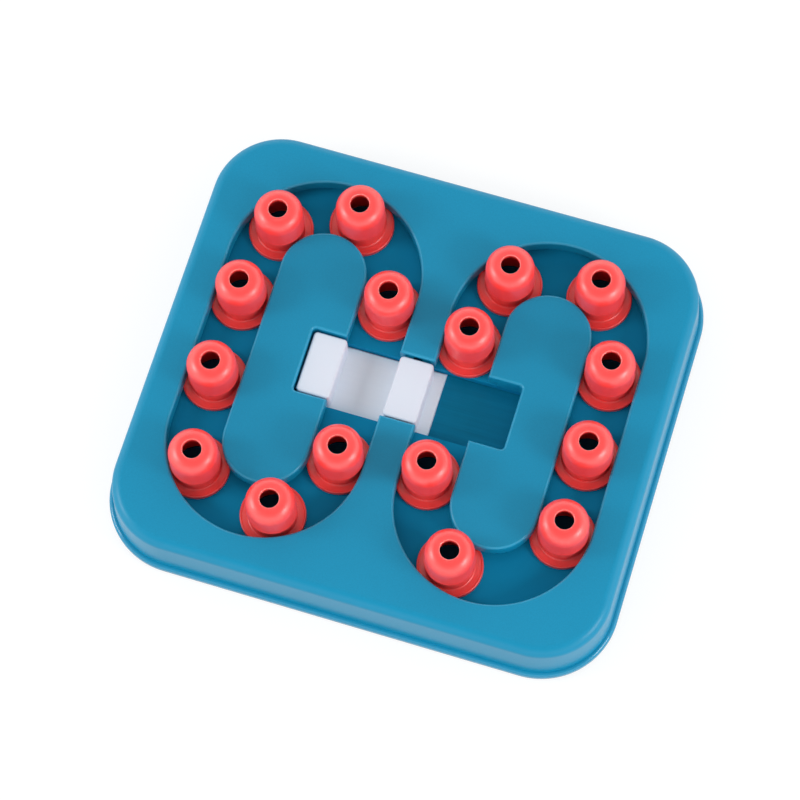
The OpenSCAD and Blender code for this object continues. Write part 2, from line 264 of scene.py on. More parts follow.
def flared_edge(radius, count):
    """Steps of a cutter that leaves a rounded edge, from its wide end inwards."""
    return [(onwards, inwards) for inwards, onwards in round_edge(radius, count)]


def flared_cut(radius, count, depth):
    """Steps of a cutter that starts above a face, leaves it a rounded edge and goes on down."""
    return [(0, PAST)] + flared_edge(radius, count) + [(0, depth + PAST)]


def rounded_block(name, size, corner, z, steps, centre=(0, 0), downwards=False, corner_steps=24):
    """Closed solid over a rounded rectangle, drawn up or down from z by inset and depth steps."""
    deselect()
    bpy.ops.mesh.primitive_plane_add(size=1, location=(centre[0], centre[1], z))
    piece = bpy.context.object
    piece.name = name
    piece.scale = (size[0], size[1], 1)
    bpy.ops.object.transform_apply()
    bpy.ops.object.mode_set(mode="EDIT")
    bpy.ops.mesh.select_mode(type="VERT")
    select_mesh()
    if corner > 0:
        bpy.ops.mesh.bevel(
            offset=corner, offset_type="OFFSET", segments=corner_steps, profile=0.5,
            affect="VERTICES", clamp_overlap=False,
        )
        select_mesh()
        bpy.ops.mesh.remove_doubles(threshold=1e-6)
    bpy.ops.mesh.select_mode(type="FACE")
    select_mesh()
    if downwards:
        bpy.ops.mesh.flip_normals()
    bpy.ops.mesh.duplicate()
    bpy.ops.mesh.flip_normals()
    bpy.ops.mesh.select_all(action="INVERT")
    for inwards, onwards in steps:
        bpy.ops.mesh.inset(thickness=inwards, depth=onwards, use_even_offset=True, use_boundary=True)
    select_mesh()
    bpy.ops.mesh.remove_doubles(threshold=1e-7)
    bpy.ops.object.mode_set(mode="OBJECT")
    return piece


def oval(name, radius, straight, z, steps, centre=(0, 0), downwards=False):
    """Closed solid over a racetrack outline."""
    return rounded_block(
        name, (2 * radius, straight + 2 * radius), radius, z, steps, centre, downwards,
        corner_steps=48,
    )


def combine(piece, other, operation):
    """Joins another solid to the piece, or cuts it out, and removes the other solid."""
    pick(piece)
    modifier = piece.modifiers.new(operation.title(), "BOOLEAN")
    modifier.operation = operation
    modifier.solver = "EXACT"
    modifier.object = other
    bpy.ops.object.modifier_apply(modifier=modifier.name)
    bpy.data.objects.remove(other, do_unlink=True)
    if not piece.data.polygons:
        raise RuntimeError(piece.name + " came out empty after a " + operation.lower())


def fuse(piece, *others):
    for other in others:
        combine(piece, other, "UNION")


def cut(piece, *others):
    for other in others:
        combine(piece, other, "DIFFERENCE")


def turned(name, profile, count=96, closed=True):
    """Ring of a profile of (radius, height) points about the Z axis, drawn up ring by ring."""
    deselect()
    radius, z = profile[0]
    bpy.ops.mesh.primitive_circle_add(vertices=count, radius=radius, location=(0, 0, z))
    piece = bpy.context.object
    piece.name = name
    bpy.ops.object.transform_apply()
    bpy.ops.object.mode_set(mode="EDIT")
    bpy.ops.mesh.select_mode(type="EDGE")
    select_mesh()
    if not closed:
        bpy.ops.mesh.edge_face_add()
        select_mesh()
        bpy.ops.mesh.select_mode(type="EDGE")
    for next_radius, next_z in (profile[1:] + profile[:1] if closed else profile[1:]):
        bpy.ops.mesh.extrude_edges_move(TRANSFORM_OT_translate={"value": (0, 0, next_z - z)})
        factor = next_radius / radius
        bpy.ops.transform.resize(value=(factor, factor, 1), center_override=(0, 0, next_z))
        radius, z = next_radius, next_z
    if not closed:
        bpy.ops.mesh.edge_face_add()
    select_mesh()
    bpy.ops.mesh.remove_doubles(threshold=1e-6)
    bpy.ops.mesh.normals_make_consistent(inside=False)
    bpy.ops.object.mode_set(mode="OBJECT")
    return piece


def arc(centre_r, centre_z, radius, start, end, count, tall=None):
    """Points of an arc in a turned profile, angles in degrees, or of an ellipse if tall is given."""
    angles = [math.radians(start + (end - start) * k / count) for k in range(count + 1)]
    tall = tall or radius
    return [(centre_r + radius * math.cos(a), centre_z + tall * math.sin(a)) for a in angles]


def copy_to(piece, name, place):
    """A copy with its own mesh, moved to a place that then goes into the mesh."""
    pick(piece)
    bpy.ops.object.duplicate(linked=False)
    twin = bpy.context.object
    twin.name = name
    twin.location = place
    bpy.ops.object.transform_apply()
    return twin


def corners_of(high, inset):
    """The four corners of a box about the Z axis, moved in by the inset."""
    return [(x * (high.x - inset), y * (high.y - inset)) for x in (-1, 1) for y in (-1, 1)]


def cover_screw_places(sizes):
    """The cover's screws: one in each corner and one beyond each end of the divider."""
    reach = SCREWS_HIGH.y - sizes.head
    return corners_of(SCREWS_HIGH, sizes.head) + [(0, -reach), (0, reach)]


def screw_places(sizes):
    """All ten screws, those of the islands last."""
    return cover_screw_places(sizes) + corners_of(ISLAND_SCREWS_HIGH, sizes.head)


def round_bars(name, radius, low, high, places, count=40):
    """Upright round bars at the places, as one object."""
    deselect()
    bars = []
    for x, y in places:
        bpy.ops.mesh.primitive_cylinder_add(
            vertices=count, radius=radius, depth=high - low, location=(x, y, (low + high) / 2),
        )
        bars.append(bpy.context.object)
    return joined(name, bars)


def joined(name, pieces):
    """Several objects as one, with their places in the mesh."""
    deselect()
    for piece in pieces:
        piece.select_set(True)
    bpy.context.view_layer.objects.active = pieces[0]
    if len(pieces) > 1:
        bpy.ops.object.join()
    whole = bpy.context.object
    whole.name = name
    bpy.ops.object.transform_apply()
    return whole


def finish_piece(piece, material, body, nodes, angle=35):
    """Smooths the piece, gives it its material, hides the CAD nodes it stands for and hangs it on its
    body.
    """
    pick(piece)
    bpy.ops.object.mode_set(mode="EDIT")
    select_mesh()
    bpy.ops.mesh.remove_doubles(threshold=1e-7)
    bpy.ops.object.mode_set(mode="OBJECT")
    bpy.ops.object.shade_smooth_by_angle(angle=math.radians(angle))
    weighted = piece.modifiers.new("Flat faces", "WEIGHTED_NORMAL")
    weighted.mode = "FACE_AREA"
    weighted.weight = 50
    weighted.keep_sharp = True
    bpy.ops.object.modifier_apply(modifier=weighted.name)
    if not piece.data.materials:
        piece.data.materials.append(material)
    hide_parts(*nodes)
    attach(piece, body)


def paint_level(piece, material, z):
    """Gives the piece's upward faces at one height, to 0.01 mm, a material of their own."""
    piece.data.materials.append(material)
    for face in piece.data.polygons:
        if face.normal.z > 0.9 and abs(face.center.z - z) < 0.01 * MM:
            face.material_index = 1


# Materials


def add_node(tree, kind, settings=None, links=None):
    """Adds a node, sets its attributes and input values, and links its inputs."""
    node = tree.nodes.new(kind)
    for key, value in (settings or {}).items():
        if isinstance(key, str) and hasattr(node, key):
            setattr(node, key, value)
        else:
            node.inputs[key].default_value = value
    for key, socket in (links or {}).items():
        tree.links.new(socket, node.inputs[key])
    return node


def new_material(name):
    """An empty node material and its tree, output and Object coordinates."""
    material = bpy.data.materials.new(name)
    material.use_nodes = True
    tree = material.node_tree
    tree.nodes.clear()
    output = add_node(tree, "ShaderNodeOutputMaterial")
    coordinates = add_node(tree, "ShaderNodeTexCoord").outputs["Object"]
    return material, tree, output, coordinates


def shade(base, factor):
    return tuple(min(1.0, c * factor) for c in base) + (1.0,)


def noise(tree, place, across, detail, roughness=0.5):
    """Noise with patches of about the given size in metres."""
    return add_node(tree, "ShaderNodeTexNoise", {
        "Scale": 1 / across, "Detail": detail, "Roughness": roughness,
    }, {"Vector": place}).outputs["Fac"]


def math_node(tree, operation, first, second):
    """The operation on a socket and a second socket or number."""
    settings, links = {"operation": operation}, {0: first}
    if isinstance(second, bpy.types.NodeSocket):
        links[1] = second
    else:
        settings[1] = second
    return add_node(tree, "ShaderNodeMath", settings, links).outputs["Value"]


def two_tones(tree, base, dark, light, share):
    """The base colour from dark times to light times as bright, after the share."""
    return add_node(tree, "ShaderNodeMix", {
        "data_type": "RGBA", 6: shade(base, dark), 7: shade(base, light),
    }, {0: share}).outputs[2]


def relief(tree, height, depth, below=None):
    """Bumps of the given depth in metres, on top of the bumps below."""
    links = {"Height": height, "Normal": below} if below else {"Height": height}
    bump = add_node(tree, "ShaderNodeBump", {"Strength": 1.0, "Distance": depth}, links)
    return bump.outputs["Normal"]


def surface(tree, output, settings, links):
    """The material's own shader."""
    shader = add_node(tree, "ShaderNodeBsdfPrincipled", settings, links)
    tree.links.new(shader.outputs["BSDF"], output.inputs["Surface"])


def moulded_abs(name, base, roughness, grain_mm, grain_um, flow=0.05, gloss_level=0.3, glow=0.0,
                pit_shade=0.0):
    """Injection moulded ABS. The spark-eroded mould leaves a fine grain, so its gloss is satin, and
    the melt leaves broad, faint flow shades. A thin wall lets some light through, as glow, and
    shade in the hollows of a coarse grain is painted into the colour."""
    _, tree, output, place = new_material(name)
    # Flow shades about 45 mm across.
    broad = noise(tree, place, 45 * MM, 2.0, 0.45)
    # Mould grain; real grain of 0.1 to 0.2 mm is drawn coarser so that it shows at this distance.
    grain = noise(tree, place, grain_mm * MM, 3.0, 0.6)
    # Painted shade: where the coarse grain is low its colour is darker, as shade held in its hollows.
    shaded = math_node(tree, "ADD", math_node(tree, "MULTIPLY", grain, pit_shade), broad)
    centred = math_node(tree, "SUBTRACT", shaded, pit_shade / 2)
    # Very shallow sink waves about 30 mm apart bend the reflections a little.
    sink = noise(tree, place, 30 * MM, 1.0)
    gloss = add_node(tree, "ShaderNodeMapRange", {
        "From Min": 0.3, "From Max": 0.7, "To Min": roughness - 0.03, "To Max": roughness + 0.03,
    }, {"Value": grain})
    surface(tree, output, {
        "IOR": 1.53, "Specular IOR Level": gloss_level, "Subsurface Weight": glow,
        "Subsurface Radius": (1.0, 0.15, 0.12), "Subsurface Scale": 2.5 * MM,
    }, {
        "Base Color": two_tones(tree, base, 1 - flow, 1 + flow, centred),
        "Roughness": gloss.outputs["Result"],
        "Normal": relief(tree, grain, grain_um * 1e-6, relief(tree, sink, 0.12 * MM)),
    })


def scored_abs(name, base, contrast):
    """The floor below the slider and the slider's own plate: the same ABS, with fine scratches along
    X from the slider's travel and the cutter marks of the mould. The bed's colour is darkened as
    painted shade and the plate's lightened as painted light."""
    _, tree, output, place = new_material(name)
    # Scratches about 1.4 mm apart, drawn out to about 55 mm along X.
    stretched = add_node(tree, "ShaderNodeMapping", {"Scale": (1 / 0.055, 1 / 0.0014, 1 / 0.0014)},
                         {"Vector": place})
    scratch = noise(tree, stretched.outputs["Vector"], 1.0, 3.0, 0.7)
    surface(tree, output, {"IOR": 1.53, "Specular IOR Level": 0.05, "Roughness": 0.42}, {
        "Base Color": two_tones(tree, base, 1 - contrast, 1 + contrast, scratch),
        "Normal": relief(tree, scratch, 0.04 * MM),
    })


def zinc_steel(name, base):
    """Zinc plated steel screws: dull silver with a faint mottle."""
    _, tree, output, place = new_material(name)
    # Zinc crystals about 0.6 mm across.
    mottle = add_node(tree, "ShaderNodeTexVoronoi", {"Scale": 1 / (0.6 * MM)}, {"Vector": place})
    distance = mottle.outputs["Distance"]
    gloss = add_node(tree, "ShaderNodeMapRange", {"To Min": 0.28, "To Max": 0.42}, {"Value": distance})
    surface(tree, output, {"Metallic": 1.0}, {
        "Base Color": two_tones(tree, base, 0.86, 1.04, distance),
        "Roughness": gloss.outputs["Result"],
    })


def foot_rubber(name, base):
    """Moulded rubber feet: dark grey and dull, with a dusty bloom."""
    _, tree, output, place = new_material(name)
    # Bloom in patches of about 4 mm.
    bloom = noise(tree, place, 4 * MM, 4.0)
    surface(tree, output, {"IOR": 1.52, "Roughness": 0.8}, {
        "Base Color": two_tones(tree, base, 0.85, 1.25, bloom),
        "Normal": relief(tree, bloom, 0.03 * MM),
    })


# Maker, colour and settings of each material of the board
MATERIALS = {
    "Teal moulded ABS": (moulded_abs, "teal", dict(
        roughness=0.4, grain_mm=0.8, grain_um=26, gloss_level=0.28, pit_shade=2.5,
    )),
    "Teal smooth ABS": (moulded_abs, "teal", dict(
        roughness=0.33, grain_mm=0.9, grain_um=3, gloss_level=0.25,
    )),
    "Teal polished ABS": (moulded_abs, "teal", dict(
        roughness=0.15, grain_mm=0.9, grain_um=0.5, gloss_level=0.45,
    )),
    # Roundings of the grooves and notches: real gloss, and a lighter teal as a painted highlight.
    "Teal polished edge": (moulded_abs, "teal_rim_highlight", dict(
        roughness=0.3, grain_mm=0.9, grain_um=3, gloss_level=0.3,
    )),
    "Groove moulded ABS": (moulded_abs, "groove_teal", dict(
        roughness=0.48, grain_mm=0.9, grain_um=14, gloss_level=0.05,
    )),
    "Coral moulded ABS": (moulded_abs, "coral", dict(
        roughness=0.36, grain_mm=0.8, grain_um=2, flow=0.02, gloss_level=0.95, glow=0.25,
    )),
    # Round the hole: real gloss, and a paler coral as a painted highlight ring.
    "Coral polished edge": (moulded_abs, "edge", dict(
        roughness=0.22, grain_mm=0.8, grain_um=2, flow=0.02, gloss_level=0.8, glow=0.5,
    )),
    "Ivory moulded ABS": (moulded_abs, "ivory", dict(
        roughness=0.4, grain_mm=0.9, grain_um=9, flow=0.015, gloss_level=0.4,
    )),
    "Scored bed ABS": (scored_abs, "bed", dict(contrast=0.2)),
    "Scored ivory ABS": (scored_abs, "plate", dict(contrast=0.03)),
    "Zinc plated steel": (zinc_steel, "steel", dict()),
    "Foot rubber": (foot_rubber, "rubber", dict()),
}


def finish_named(name):
    """The material of that name, made on first use from the scene's finishes."""
    if name not in bpy.data.materials:
        maker, tint, settings = MATERIALS[name]
        maker(name, getattr(bpy.context.scene.feeder_finishes, tint), **settings)
    return bpy.data.materials[name]


def smooth_sides(piece):
    """Only the tops have the mould's grain: walls get the smoother finish, and the roundings of
    the grooves and notches are polished and painted a lighter teal, as a painted highlight."""
    # How much a top and a rounding face up, as the height of their normals.
    top_up, round_up = 0.97, 0.15
    s = bpy.context.scene.feeder_board
    piece.data.materials.append(finish_named("Teal smooth ABS"))
    piece.data.materials.append(finish_named("Teal polished edge"))
    for face in piece.data.polygons:
        across, along = abs(face.center.x), abs(face.center.y)
        from_track = math.hypot(across - s.track_offset, max(along - s.straight / 2, 0))
        in_track = from_track < s.track_radius + s.lip_round
        in_gap = across < s.track_offset and along < s.notch_half + 2 * s.lip_round
        if face.normal.z < top_up:
            face.material_index = 2 if face.normal.z > round_up and (in_track or in_gap) else 1


# Pieces


class FEEDER_OT_cover(bpy.types.Operator):
    """Models the cover: a rounded shell with two racetrack openings and the ridge between them"""

    bl_idname = "feeder.cover"
    bl_label = "Top cover"

    def execute(self, context):
        s = context.scene.feeder_board
        top, ledge = COVER_HIGH.z, COVER_LOW.z
        roof = top - s.wall
        rise = top - ledge
        plan = (s.cover_width + 2 * s.draft, s.cover_depth + 2 * s.draft)
        corner = s.cover_corner + s.draft
        shell = rounded_block(
            "cover_shell", plan, corner, ledge,
            [(s.draft, rise - s.edge_round)] + round_edge(s.edge_round, 10), corner_steps=32,
        )
        inside = (plan[0] - 2 * s.wall, plan[1] - 2 * s.wall)
        cut(shell, rounded_block(
            "cavity", inside, corner - s.wall, ledge - PAST,
            [(0, PAST), (s.draft, rise - s.edge_round)] + round_edge(s.edge_round - s.wall, 6),
            corner_steps=32,
        ))
        tracks = [(side * s.track_offset, 0) for side in (-1, 1)]
        for at in tracks:
            fuse(
                shell,
                oval("lip", s.track_radius + s.wall, s.straight, FLOOR_Z + s.lip_gap,
                     [(0, roof + 2 * WELD - FLOOR_Z - s.lip_gap)], at),
                oval("channel", s.undercut_radius + s.wall, s.straight, FLOOR_Z,
                     [(0, s.lip_gap + s.wall)], at),
            )
        for at in tracks:
            cut(
                shell,
                oval("opening", s.track_radius + s.lip_round, s.straight, top + PAST,
                     flared_cut(s.lip_round, 6, top - s.lip_round - FLOOR_Z - s.lip_gap), at,
                     downwards=True),
                oval("undercut", s.undercut_radius, s.straight, FLOOR_Z - PAST,
                     [(0, s.lip_gap + PAST)], at),
            )
        # The gap's cutter reaches into both tracks, and its corners have a radius of their own.
        reach, gap_corner = 4 * MM, MM
        cut(shell, rounded_block(
            "gap", (s.divider + 2 * reach, 2 * (s.notch_half + s.lip_round)), s.lip_round + gap_corner,
            top + PAST, flared_cut(s.lip_round, 6, top - s.lip_round - FLOOR_Z),
            downwards=True, corner_steps=8,
        ))
        f = context.scene.feeder_fasteners
        places = cover_screw_places(f)
        fuse(shell, round_bars("bosses", f.shank + f.fit + s.wall, FLOOR_Z, roof + 2 * WELD, places))
        cut(shell, round_bars("bores", f.shank + f.fit, FLOOR_Z - PAST, FLOOR_Z + f.grip + PAST, places))
        # The two halves of the ridge between the tracks are hollow below.
        hollow = (
            2 * (s.track_offset - s.undercut_radius - s.wall),
            s.straight / 2 - s.notch_half - s.wall,
        )
        for side in (-1, 1):
            at = (0, side * (s.notch_half + s.wall + hollow[1] / 2))
            cut(shell, rounded_block("divider_hollow", hollow, hollow[0] / 4, FLOOR_Z - PAST,
                                     [(0, roof - FLOOR_Z + PAST)], at, corner_steps=6))
        finish_piece(shell, finish_named("Teal moulded ABS"), BOARD_BODY, ["top_cover"])
        smooth_sides(shell)
        return {"FINISHED"}


class FEEDER_OT_islands(bpy.types.Operator):
    """Models the two islands, each with a notch for a block of the slider"""

    bl_idname = "feeder.islands"
    bl_label = "Islands"

    def execute(self, context):
        s = context.scene.feeder_board
        top = ISLAND_HIGH.z
        under = FLOOR_Z + s.lip_gap
        for side, node in ((-1, "left_island"), (1, "right_island")):
            at = (side * s.track_offset, 0)
            cap = oval(node + "_cap", s.island_radius, s.straight, under,
                       [(0, top - s.lip_round - under)] + round_edge(s.lip_round, 6), at)
            inner = -side
            hollow_island(cap, at, inner)
            # How far the notch's cutter reaches out of the island.
            reach = 12 * MM
            middle = at[0] + inner * (s.island_radius - s.notch_depth / 2 + reach / 2)
            notch = (s.notch_depth + reach + 2 * s.lip_round, 2 * (s.notch_half + s.lip_round))
            cut(cap, rounded_block(
                "notch", notch, s.notch_corner + s.lip_round, top + PAST,
                flared_cut(s.lip_round, 6, top - s.lip_round - FLOOR_Z),
                (middle, 0), downwards=True, corner_steps=12,
            ))
            finish_piece(cap, finish_named("Teal moulded ABS"), BOARD_BODY, [node])
            smooth_sides(cap)
        return {"FINISHED"}


def notch_surround(at, inner):
    """Block that leaves a wall round the notch, for cutting out of the hollows of an island."""
    s = bpy.context.scene.feeder_board
    wide = s.notch_depth + s.wall
    return rounded_block(
        "notch_surround", (wide, 2 * (s.notch_half + s.wall)), s.notch_corner, FLOOR_Z - 3 * PAST,
        [(0, ISLAND_HIGH.z - FLOOR_Z + 4 * PAST)],
        (at[0] + inner * (s.island_radius - wide / 2), 0), corner_steps=12,
    )


def hollow_island(cap, at, inner):
    """Hollows an island from below: inside its foot and between its foot and its skin."""
    s = bpy.context.scene.feeder_board
    f = bpy.context.scene.feeder_fasteners
    roof = ISLAND_HIGH.z - s.wall
    under = FLOOR_Z + s.lip_gap
    screw_y = ISLAND_SCREWS_HIGH.y - f.head
    places = [(at[0], -screw_y), (at[0], screw_y)]
    fuse(cap, oval("foot", s.pedestal_radius, s.straight, FLOOR_Z, [(0, roof - FLOOR_Z)], at))
    ring = oval("ring", s.island_radius - s.wall, s.straight, under - PAST,
                [(0, roof - under + PAST)], at)
    cut(ring, oval("core", s.pedestal_radius, s.straight, FLOOR_Z - PAST,
                   [(0, roof - FLOOR_Z + 2 * PAST)], at))
    cut(ring, notch_surround(at, inner))
    core = oval("core", s.pedestal_radius - s.wall, s.straight, FLOOR_Z - PAST,
                [(0, roof - FLOOR_Z + PAST)], at)
    cut(core, notch_surround(at, inner))
    cut(core, round_bars("bosses", f.shank + f.fit + s.wall, FLOOR_Z - 2 * PAST, roof + PAST, places))
    bores = round_bars("bores", f.shank + f.fit, FLOOR_Z - PAST, FLOOR_Z + f.grip + PAST, places)
    cut(cap, ring, core, bores)


class FEEDER_OT_track_plate(bpy.types.Operator):
    """Models the sunken floor of the tracks, with the slider's slot and its rims"""

    bl_idname = "feeder.track_plate"
    bl_label = "Track plate"

    def execute(self, context):
        s = context.scene.feeder_board
        size = (PLATE_HIGH.x - PLATE_LOW.x, PLATE_HIGH.y - PLATE_LOW.y)
        corner = s.cover_corner - s.wall - s.gap
        under = FLOOR_Z - s.wall
        plate = rounded_block("track_floor", size, corner, under, [(0, s.wall)], corner_steps=32)
        slot_half = s.notch_half + s.gap
        slot_end = s.track_offset - s.island_radius + s.notch_depth + 2 * s.gap
        # Thickness of the rims below the slot's edges, and the rounding of those edges.
        rim, edge = 1.6 * MM, 0.3 * MM
        fuse(plate, rounded_block(
            "rims", (2 * slot_end, 2 * (slot_half + rim)), 0, PLATE_LOW.z,
            [(0, under - PLATE_LOW.z + MM)],
        ))
        cut(plate, rounded_block(
            "slot", (2 * slot_end + 2 * edge, 2 * slot_half + 2 * edge), s.notch_corner, FLOOR_Z + PAST,
            flared_cut(edge, 4, FLOOR_Z - PLATE_LOW.z), downwards=True, corner_steps=12,
        ))
        f = context.scene.feeder_fasteners
        cut(plate, round_bars("screw_holes", f.shank + f.clearance, under - PAST, FLOOR_Z + PAST,
                              screw_places(f)))
        finish_piece(plate, finish_named("Groove moulded ABS"), BOARD_BODY, ["track_plate"])
        return {"FINISHED"}


class FEEDER_OT_base(bpy.types.Operator):
    """Models the base tray: the rounded band, the rising wall and the bed below the slider"""

    bl_idname = "feeder.base"
    bl_label = "Base tray"

    def execute(self, context):
        s = context.scene.feeder_board
        low, ledge = BASE_LOW.z, COVER_LOW.z
        under = FLOOR_Z - s.wall
        half = s.band_round / 2
        size = (BASE_HIGH.x - BASE_LOW.x, BASE_HIGH.y - BASE_LOW.y)
        tray = rounded_block(
            "base_tray_shell", size, s.band_corner, low + half,
            [(0, ledge - low - half - s.band_round)] + round_edge(s.band_round, 8), corner_steps=32,
        )
        fuse(tray, rounded_block(
            "tray_foot", size, s.band_corner, low + half + WELD,
            [(0, WELD)] + round_edge(half, 5), downwards=True, corner_steps=32,
        ))
        nest = s.wall + s.gap
        plan = (s.cover_width - 2 * nest, s.cover_depth - 2 * nest)
        corner = s.cover_corner - nest
        fuse(tray, rounded_block("upstand", plan, corner, ledge - 2 * WELD,
                                 [(0, under - ledge + 2 * WELD)], corner_steps=32))
        cut(tray, rounded_block(
            "tray_cavity", (plan[0] - 2 * s.wall, plan[1] - 2 * s.wall), corner - s.wall,
            low + s.wall, [(0, under - low)], corner_steps=32,
        ))
        self.add_bed(tray, s, low + s.wall, under)
        self.add_fastener_seats(tray, low, under)
        finish_piece(tray, finish_named("Teal polished ABS"), BOARD_BODY, ["base_tray"])
        # Painted shade: the bed's face gets a darker teal than the rest of the tray.
        paint_level(tray, finish_named("Scored bed ABS"), SLIDER_LOW.z)
        return {"FINISHED"}

    def add_bed(self, tray, s, low, high):
        """Raised bed that the slider runs on, hollow below, with walls at its sides and ends."""
        reach = 2 * abs(SLIDER_LOW.x + s.gap)
        run = (reach + 2 * s.gap, SLIDER_HIGH.y - SLIDER_LOW.y + 2 * s.gap)
        outer = (run[0] + 2 * s.wall, run[1] + 2 * s.wall)
        bed = rounded_block("bed", outer, s.wall, low - WELD, [(0, high - low + WELD)],
                            corner_steps=8)
        cut(
            bed,
            rounded_block("run", run, s.gap, SLIDER_LOW.z, [(0, high - SLIDER_LOW.z + PAST)],
                          corner_steps=3),
            rounded_block("below", run, s.gap, low, [(0, SLIDER_LOW.z - s.wall - low)], corner_steps=3),
        )
        fuse(tray, bed)

    def add_fastener_seats(self, tray, low, high):
        """Posts with counterbored holes for the screws, and pockets for the feet."""
        s = bpy.context.scene.feeder_board
        f = bpy.context.scene.feeder_fasteners
        screws, feet = screw_places(f), corners_of(FEET_HIGH, f.foot)
        floor = low + s.wall
        head = f.head + f.clearance
        fuse(tray, round_bars("posts", head + s.wall / 2, floor - WELD, high, screws))
        fuse(tray, round_bars("pads", f.foot + s.wall, floor - WELD, floor + f.pocket, feet, 64))
        cut(
            tray,
            round_bars("counterbores", head, low - PAST, high - f.seat, screws),
            round_bars("shank_holes", f.shank + f.clearance, high - f.seat - PAST, high + PAST, screws),
            round_bars("pockets", f.foot + f.fit, low - PAST, low + f.pocket, feet, 64),
        )


class FEEDER_OT_slider(bpy.types.Operator):
    """Models the slider: a railed plate with two raised blocks"""

    bl_idname = "feeder.slider"
    bl_label = "Slider"

    def execute(self, context):
        s = context.scene.feeder_slider
        low, high = SLIDER_LOW, SLIDER_HIGH
        middle = (low.x + high.x) / 2
        plate_top = FLOOR_Z - s.plate_top
        span = high.x - low.x
        # Rounding of the plate's edges and corners, lean of the blocks, and their depth in the plate.
        edge, corner, lean, sunk = 0.4 * MM, 0.8 * MM, 0.1 * MM, 0.5 * MM
        plate = rounded_block(
            "slider_body", (span, 2 * s.plate_half), corner, low.z,
            [(0, plate_top - low.z - edge)] + round_edge(edge, 4), (middle, 0), corner_steps=6,
        )
        fuse(plate, rounded_block(
            "rails", (span, high.y - low.y), corner, low.z,
            [(0, s.rail_top - edge)] + round_edge(edge, 4), (middle, 0), corner_steps=6,
        ))
        for side in (-1, 1):
            at = (middle + side * s.block_pitch / 2, 0)
            fuse(plate, rounded_block(
                "block", (s.block_width + 2 * lean, s.block_length + 2 * lean), s.block_corner + lean,
                plate_top - sunk,
                [(lean, high.z - plate_top + sunk - s.block_edge)] + round_edge(s.block_edge, 8),
                at, corner_steps=10,
            ))
        wall = context.scene.feeder_board.wall
        for side in (-1, 1):
            cut(plate, rounded_block(
                "block_hollow", (s.block_width - 2 * wall, s.block_length - 2 * wall), s.block_corner / 2,
                low.z - PAST, [(0, high.z - wall - low.z + PAST)],
                (middle + side * s.block_pitch / 2, 0), corner_steps=6,
            ))
        finish_piece(plate, finish_named("Ivory moulded ABS"), "slider", ["slider"])
        # Painted light: the plate's face gets a lighter ivory than the blocks.
        paint_level(plate, finish_named("Scored ivory ABS"), plate_top)
        return {"FINISHED"}


class FEEDER_OT_pegs(bpy.types.Operator):
    """Models one peg, a hollow bell with a soft step and a wide flange, and copies it to its places"""

    bl_idname = "feeder.pegs"
    bl_label = "Pegs"

    def execute(self, context):
        s = context.scene.feeder_pegs
        top = PEG_HIGH.z - FLOOR_Z
        body, flange, foot = s.body_radius, s.flange_radius, s.foot_width
        inner = body - s.wall
        inner_top = top - s.wall - s.hole_round
        deck = s.flange_height - s.rim_height
        under = deck - s.deck
        sole, crown = foot / 5, s.rim_width / 2
        # The soft step: out by shares of the taper and of the step, and up by shares of the step.
        soft_step = [
            (body + taper * s.taper + out * s.step_out, s.step_height + up * s.step_out)
            for taper, out, up in (
                (-0.6, 0, -8), (-0.2, 0, -3.4), (0, 0.6, -1.2), (0, 1, 0), (0, 0.8, 1), (0, 0.3, 4),
                (0, 0, 9),
            )
        ]
        profile = (
            [(flange - foot, 0)]
            + arc(flange - sole, sole, sole, -90, 0, 4)
            + arc(flange - crown, s.flange_height - crown, crown, 0, 125, 9)
            + [(flange - s.rim_width - 0.1 * MM, deck)]
            + arc(body - s.taper + s.cove, deck + s.cove, s.cove, 270, 180, 8)
            + soft_step
            + arc(body - s.shoulder, top - s.shoulder_drop, s.shoulder, 0, 90, 24, s.shoulder_drop)
            + arc(s.hole_radius + s.hole_round, top - s.hole_round, s.hole_round, 90, 180, 8)
            + [(s.hole_radius, inner_top)]
            + arc(inner - s.shoulder / 2, inner_top - s.shoulder / 2, s.shoulder / 2, 90, 0, 8)
            + [(inner, deck + s.cove), (inner + s.cove / 2, under), (flange - foot, under)]
        )
        master = turned("peg_master", profile)
        material = finish_named("Coral moulded ABS")
        master.data.materials.append(material)
        master.data.materials.append(finish_named("Coral polished edge"))
        # The rounded edge of the hole gets the paler coral of the painted highlight ring.
        for face in master.data.polygons:
            out, z = face.center.xy.length, face.center.z
            if out < s.hole_radius + s.hole_round and z > top - s.hole_round:
                face.material_index = 1
        for node in PEG_NODES:
            low, high = box_of(node)
            place = ((low.x + high.x) / 2, (low.y + high.y) / 2, low.z)
            bell = copy_to(master, node + "_bell", place)
            finish_piece(bell, material, frame_body(node), [node], angle=50)
        bpy.data.objects.remove(master, do_unlink=True)
        return {"FINISHED"}


def frame_body(node):
    """The body that a CAD node rides on."""
    for name, nodes in frame["record"]["behaviour"]["bodies"].items():
        if node in nodes:
            return name
    raise RuntimeError(node + " is on no body")


